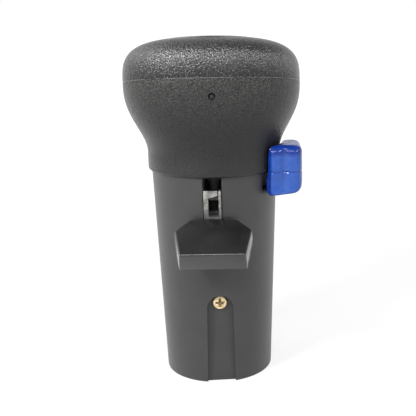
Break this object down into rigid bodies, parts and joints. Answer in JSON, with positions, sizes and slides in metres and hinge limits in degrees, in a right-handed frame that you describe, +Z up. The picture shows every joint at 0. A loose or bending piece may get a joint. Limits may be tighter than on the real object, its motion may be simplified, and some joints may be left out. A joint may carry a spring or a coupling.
{
  "type": "gear shift knob",
  "caption": "Truck gear shift knob: grained mushroom head on a tapered skirt, flip-up range paddle in front, sliding splitter button at the side, air valves and threaded insert inside.",
  "frame": {"origin": "on the knob's axis, at the mouth of the gear lever thread", "axes": "+Z up the gear lever's axis to the crown, -Y to the front where the range lever is, +X to the side with the splitter button"},
  "size_m": [0.0763, 0.0791, 0.1511],
  "materials": {
    "grained_black": "leather-grained soft black moulding",
    "skirt_black": "fine satin black moulding",
    "paddle_black": "semi-gloss black moulding",
    "button_blue": "glossy blue moulding",
    "plated_steel": "zinc-plated sheet steel",
    "yellow_plated": "yellow-plated screw",
    "brass": "machined brass",
    "body_black": "dark glass-filled moulding",
    "seal_black": "black seal rubber",
    "dark_steel": "dark phosphated steel",
    "pattern_metal": "satin aluminium plate with engraved gate lines",
    "collet_black": "black moulded collet"
  },
  "bodies": {
    "base": {"grip_head": "grained_black", "pattern_plate": "pattern_metal", "head_screws": "dark_steel", "skirt": "skirt_black", "skirt_screws": "yellow_plated", "valve_body": "body_black", "lever_insert": "brass", "range_pivot_pin": "dark_steel", "range_bore_plug": "dark_steel", "range_detent_ball": "dark_steel", "range_detent_spring": "dark_steel", "range_detent_plug": "dark_steel", "splitter_bore_plug": "dark_steel", "splitter_detent_ball": "dark_steel", "splitter_detent_spring": "dark_steel", "splitter_detent_plug": "dark_steel", "port_fittings": "brass", "port_collets": "collet_black", "port_seals": "seal_black", "passage_plugs": "dark_steel"},
    "range_lever": {"range_stirrup": "plated_steel", "range_paddle": "paddle_black"},
    "range_valve": {"range_spool": "body_black", "range_spool_seals": "seal_black"},
    "splitter": {"splitter_button": "button_blue", "splitter_stem": "body_black", "splitter_spool": "body_black", "splitter_spool_seals": "seal_black"}
  },
  "joints": [
    {"name": "range_lever_hinge", "type": "hinge", "parent": "base", "child": "range_lever", "pos_m": [0, -0.0155, 0.058], "axis": [-1, 0, 0], "range_deg": [0, 55]},
    {"name": "range_spool_slide", "type": "slide", "parent": "base", "child": "range_valve", "axis": [0, 0, -1], "range_m": [0, 0.00878]},
    {"name": "splitter_slide", "type": "slide", "parent": "base", "child": "splitter", "axis": [0, -1, 0], "range_m": [0, 0.008]}
  ],
  "couplings": [
    {"joint": "range_spool_slide", "follows": "range_lever_hinge", "m_per_rad": 0.0091394}
  ]
}
